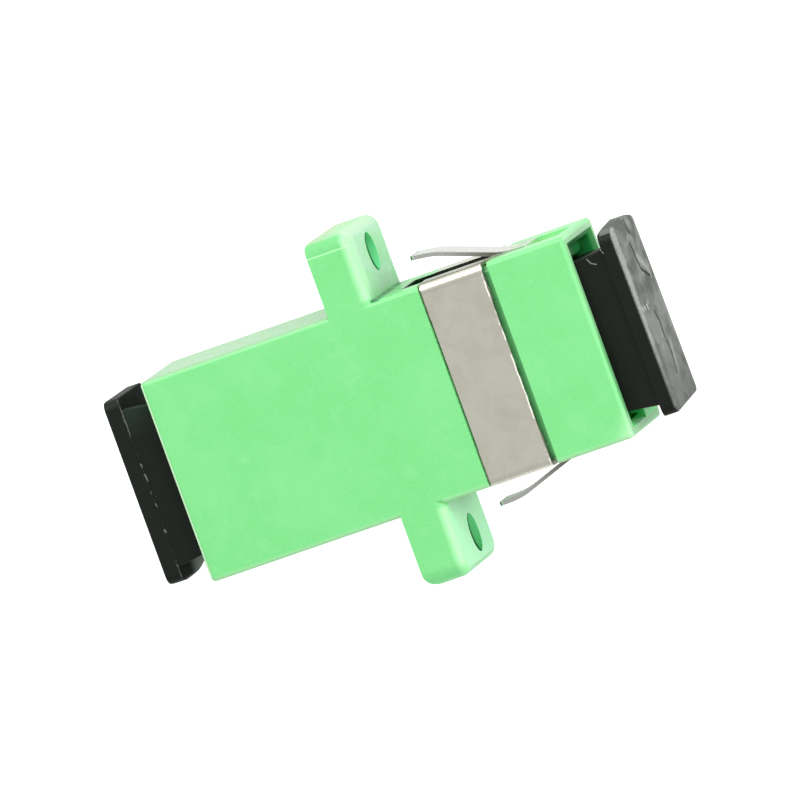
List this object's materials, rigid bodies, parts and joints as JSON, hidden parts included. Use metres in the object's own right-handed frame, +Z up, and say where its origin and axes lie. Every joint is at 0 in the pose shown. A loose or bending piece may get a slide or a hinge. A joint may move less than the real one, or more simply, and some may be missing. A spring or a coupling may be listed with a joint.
{
  "type": "fibre optic adapter",
  "caption": "Flanged coupling sleeve for two SC fibre plugs: green housing with screw ears, sprung steel panel clip, split alignment sleeve, latch inserts and black dust caps.",
  "frame": {"origin": "centre of the bounding box's bottom face, on the keyway side that the adapter lies on", "axes": "+X along the fibre axis towards the clip end, +Y along the flange's width through the screw holes, +Z up to the wide face that carries the clip's band"},
  "size_m": [0.0331, 0.022, 0.0093],
  "materials": {
    "housing": "glossy light green moulded plastic",
    "latch": "satin green moulded plastic",
    "sleeve": "polished white zirconia",
    "clip": "rolled stainless sheet",
    "cap": "satin black soft plastic"
  },
  "bodies": {
    "adapter": {"housing": "housing", "latch_front": "latch", "latch_rear": "latch", "split_sleeve": "sleeve", "clip": "clip"},
    "front_cap": {"cap_front": "cap"},
    "rear_cap": {"cap_rear": "cap"}
  },
  "joints": [
    {"name": "front_cap_slide", "type": "slide", "parent": "adapter", "child": "front_cap", "axis": [1, 0, 0], "range_m": [-0.0018, 0.0085]},
    {"name": "rear_cap_slide", "type": "slide", "parent": "adapter", "child": "rear_cap", "axis": [-1, 0, 0], "range_m": [-0.0018, 0.0085]}
  ]
}
